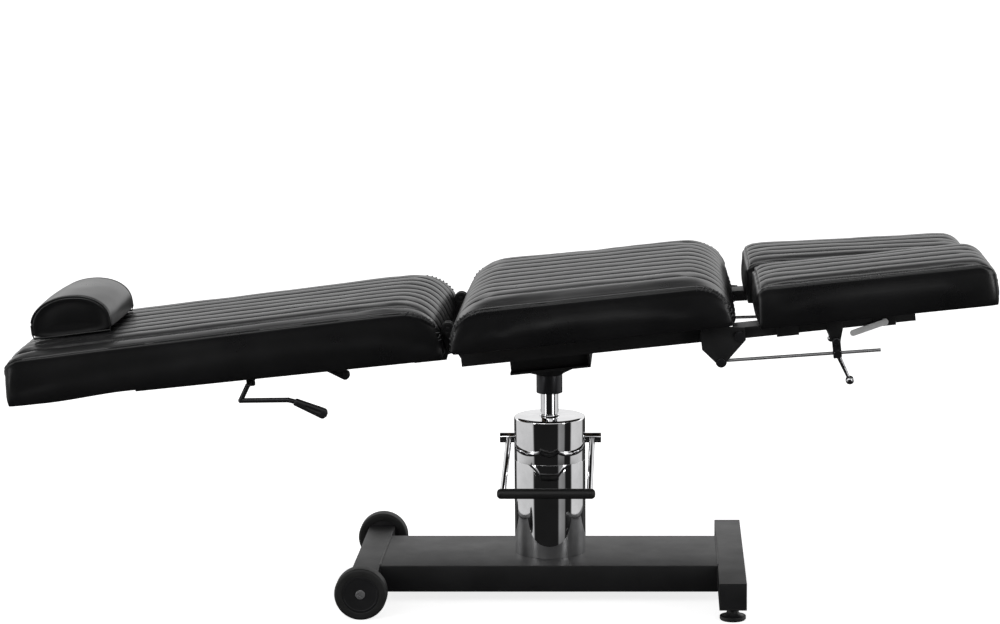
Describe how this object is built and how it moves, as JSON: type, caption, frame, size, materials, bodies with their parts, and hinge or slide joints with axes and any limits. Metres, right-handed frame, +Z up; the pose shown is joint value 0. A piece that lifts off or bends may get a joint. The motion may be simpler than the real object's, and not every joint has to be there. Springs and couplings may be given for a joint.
{
  "type": "tattoo chair",
  "caption": "Hydraulic reclining tattoo chair: channelled back, seat and split leg cushions on a tilted frame over a chrome pump column and wheeled H-shaped base",
  "frame": {"origin": "on the floor, under the middle of the overall box", "axes": "+X from the head end towards the feet, -Y to the pedal side, +Z up"},
  "size_m": [1.794, 0.586, 0.6729],
  "materials": {
    "black_frame": "smooth black powder coat",
    "chrome_pump": "polished chrome plate",
    "upholstery": "black vinyl upholstery, channel stitched",
    "black_plastic": "moulded black plastic",
    "gloss_ball": "gloss black ball knob and grips",
    "tyre_rubber": "black rubber tread",
    "foot_rubber": "black rubber",
    "zinc_steel": "bright zinc plated steel",
    "dark_steel": "black enamelled steel",
    "grey_metal": "light grey cast lever",
    "plywood": "plywood board",
    "bronze": "bearing bronze"
  },
  "bodies": {
    "base": {"base_beam": "black_frame", "front_cross_tube": "black_frame", "rear_cross_tube": "black_frame", "tube_end_plugs": "black_plastic", "wheel_axles": "zinc_steel", "pump_flange": "black_frame", "pump_flange_bolts": "zinc_steel", "pump_lower_shell": "chrome_pump", "pump_upper_shell": "chrome_pump", "pressure_barrel": "zinc_steel", "ram_guide_bush": "bronze", "ram_seal_ring": "foot_rubber"},
    "pedal": {"rocker_shaft": "chrome_pump", "pedal_stirrup": "chrome_pump", "foot_bar_sleeve": "foot_rubber"},
    "lift": {"lift_ram": "chrome_pump"},
    "seat": {"seat_socket": "dark_steel", "seat_mount_plate": "black_frame", "seat_channel": "black_frame", "seat_mount_bolts": "zinc_steel", "seat_rails": "black_frame", "seat_cross_tubes": "black_frame", "seat_board": "plywood", "seat_cushion": "upholstery", "back_hinge_brackets": "black_frame", "back_hinge_pins": "zinc_steel"},
    "back": {"back_rails": "black_frame", "back_cross_tubes": "black_frame", "back_board": "plywood", "back_cushion": "upholstery", "back_hinge_ears": "black_frame", "release_bar_clips": "black_plastic"},
    "bolster": {"headrest_bolster": "upholstery"},
    "release": {"release_bar": "dark_steel", "release_grips": "gloss_ball"},
    "strut_cylinder": {"gas_strut_cylinder": "dark_steel"},
    "strut_rod": {"gas_strut_rod": "zinc_steel"},
    "leg_hinge": {"leg_hinge_shaft": "zinc_steel", "knee_plates": "black_frame", "knee_bolts": "zinc_steel"},
    "wheel_near": {"wheel_tyre_near": "tyre_rubber", "wheel_hub_near": "black_plastic"},
    "foot_near": {"levelling_foot_near": "black_plastic"},
    "leg_near": {"leg_arm_near": "black_frame"},
    "pad_near": {"leg_carrier_near": "black_frame", "leg_cushion_near": "upholstery"},
    "rod_near": {"support_rod_near": "zinc_steel"},
    "clamp_near": {"rod_clamp_near": "dark_steel"},
    "lever_near": {"clamp_lever_near": "gloss_ball"},
    "cam_near": {"cam_lever_near": "grey_metal"},
    "wheel_far": {"wheel_tyre_far": "tyre_rubber", "wheel_hub_far": "black_plastic"},
    "foot_far": {"levelling_foot_far": "black_plastic"},
    "leg_far": {"leg_arm_far": "black_frame"},
    "pad_far": {"leg_carrier_far": "black_frame", "leg_cushion_far": "upholstery"},
    "rod_far": {"support_rod_far": "zinc_steel"},
    "clamp_far": {"rod_clamp_far": "dark_steel"},
    "lever_far": {"clamp_lever_far": "gloss_ball"},
    "cam_far": {"cam_lever_far": "grey_metal"}
  },
  "joints": [
    {"name": "pedal_press", "type": "hinge", "parent": "base", "child": "pedal", "pos_m": [0.08305, 0.038, 0.284], "axis": [1, 0, 0], "range_deg": [0, 18], "stiffness_Nm_per_rad": 8, "springref_deg": -25.78},
    {"name": "ram_lift", "type": "slide", "parent": "base", "child": "lift", "axis": [0, 0, 1], "range_m": [-0.035, 0.16]},
    {"name": "seat_turn", "type": "hinge", "parent": "lift", "child": "seat", "pos_m": [0.08305, 0, 0.4], "axis": [0, 0, 1], "continuous": true},
    {"name": "back_recline", "type": "hinge", "parent": "seat", "child": "back", "pos_m": [-0.09292, 0, 0.53037], "axis": [0, 1, 0], "range_deg": [0, 60]},
    {"name": "bolster_shift", "type": "slide", "parent": "back", "child": "bolster", "axis": [0.9925, 0, 0.1221], "range_m": [0, 0.15]},
    {"name": "release_pull", "type": "hinge", "parent": "back", "child": "release", "pos_m": [-0.45718, 0, 0.42773], "axis": [0, 1, 0], "range_deg": [-12, 0], "stiffness_Nm_per_rad": 3, "springref_deg": 14.32},
    {"name": "strut_tilt", "type": "hinge", "parent": "back", "child": "strut_cylinder", "pos_m": [-0.41337, 0, 0.42228], "axis": [0, 1, 0], "range_deg": [-1.5, 1]},
    {"name": "strut_stroke", "type": "slide", "parent": "strut_cylinder", "child": "strut_rod", "axis": [0.9892, 0, 0.1464], "range_m": [-0.001, 0.068]},
    {"name": "leg_drop", "type": "hinge", "parent": "seat", "child": "leg_hinge", "pos_m": [0.37953, 0, 0.53176], "axis": [0, 1, 0], "range_deg": [0, 60]},
    {"name": "wheel_spin_near", "type": "hinge", "parent": "base", "child": "wheel_near", "pos_m": [-0.25495, -0.217, 0.048], "axis": [0, 1, 0], "continuous": true},
    {"name": "foot_screw_near", "type": "slide", "parent": "base", "child": "foot_near", "axis": [0, 0, 1], "range_m": [-0.015, 0]},
    {"name": "leg_tilt_near", "type": "hinge", "parent": "leg_hinge", "child": "leg_near", "pos_m": [0.43363, 0, 0.5288], "axis": [0, 1, 0], "range_deg": [-12, 12]},
    {"name": "rod_swing_near", "type": "hinge", "parent": "leg_hinge", "child": "rod_near", "pos_m": [0.40088, 0, 0.48172], "axis": [0, 1, 0], "range_deg": [-10.5, 10.5]},
    {"name": "clamp_swing_near", "type": "hinge", "parent": "leg_near", "child": "clamp_near", "pos_m": [0.60695, 0, 0.52047], "axis": [0, 1, 0], "range_deg": [-2.6, 2.6]},
    {"name": "lever_turn_near", "type": "hinge", "parent": "clamp_near", "child": "lever_near", "pos_m": [0.60949, 0, 0.49632], "axis": [0, 1, 0], "range_deg": [-25, 25]},
    {"name": "pad_slide_near", "type": "slide", "parent": "leg_near", "child": "pad_near", "axis": [0.9945, 0, 0.1045], "range_m": [-0.02, 0.03]},
    {"name": "cam_turn_near", "type": "hinge", "parent": "pad_near", "child": "cam_near", "pos_m": [0.69285, 0, 0.55464], "axis": [0, 1, 0], "range_deg": [-60, 0]},
    {"name": "wheel_spin_far", "type": "hinge", "parent": "base", "child": "wheel_far", "pos_m": [-0.25495, 0.217, 0.048], "axis": [0, 1, 0], "continuous": true},
    {"name": "foot_screw_far", "type": "slide", "parent": "base", "child": "foot_far", "axis": [0, 0, 1], "range_m": [-0.015, 0]},
    {"name": "leg_tilt_far", "type": "hinge", "parent": "leg_hinge", "child": "leg_far", "pos_m": [0.43363, 0, 0.5288], "axis": [0, 1, 0], "range_deg": [-14.9, 9.1]},
    {"name": "rod_swing_far", "type": "hinge", "parent": "leg_hinge", "child": "rod_far", "pos_m": [0.40088, 0, 0.48172], "axis": [0, 1, 0], "range_deg": [-13.4, 7.6]},
    {"name": "clamp_swing_far", "type": "hinge", "parent": "leg_far", "child": "clamp_far", "pos_m": [0.60631, 0, 0.51171], "axis": [0, 1, 0], "range_deg": [-2.6, 2.6]},
    {"name": "lever_turn_far", "type": "hinge", "parent": "clamp_far", "child": "lever_far", "pos_m": [0.60783, 0, 0.48748], "axis": [0, 1, 0], "range_deg": [-25, 25]},
    {"name": "pad_slide_far", "type": "slide", "parent": "leg_far", "child": "pad_far", "axis": [0.9985, 0, 0.0541], "range_m": [-0.006, 0.044]},
    {"name": "cam_turn_far", "type": "hinge", "parent": "pad_far", "child": "cam_far", "pos_m": [0.67985, 0, 0.54073], "axis": [0, 1, 0], "range_deg": [-60, 0]}
  ],
  "couplings": [
    {"joint": "strut_tilt", "follows": "back_recline", "ratio": -0.008},
    {"joint": "strut_stroke", "follows": "back_recline", "m_per_rad": 0.0632},
    {"joint": "rod_swing_near", "follows": "leg_tilt_near", "ratio": 0.83},
    {"joint": "clamp_swing_near", "follows": "leg_tilt_near", "ratio": -0.17},
    {"joint": "rod_swing_far", "follows": "leg_tilt_far", "ratio": 0.83},
    {"joint": "clamp_swing_far", "follows": "leg_tilt_far", "ratio": -0.17}
  ]
}
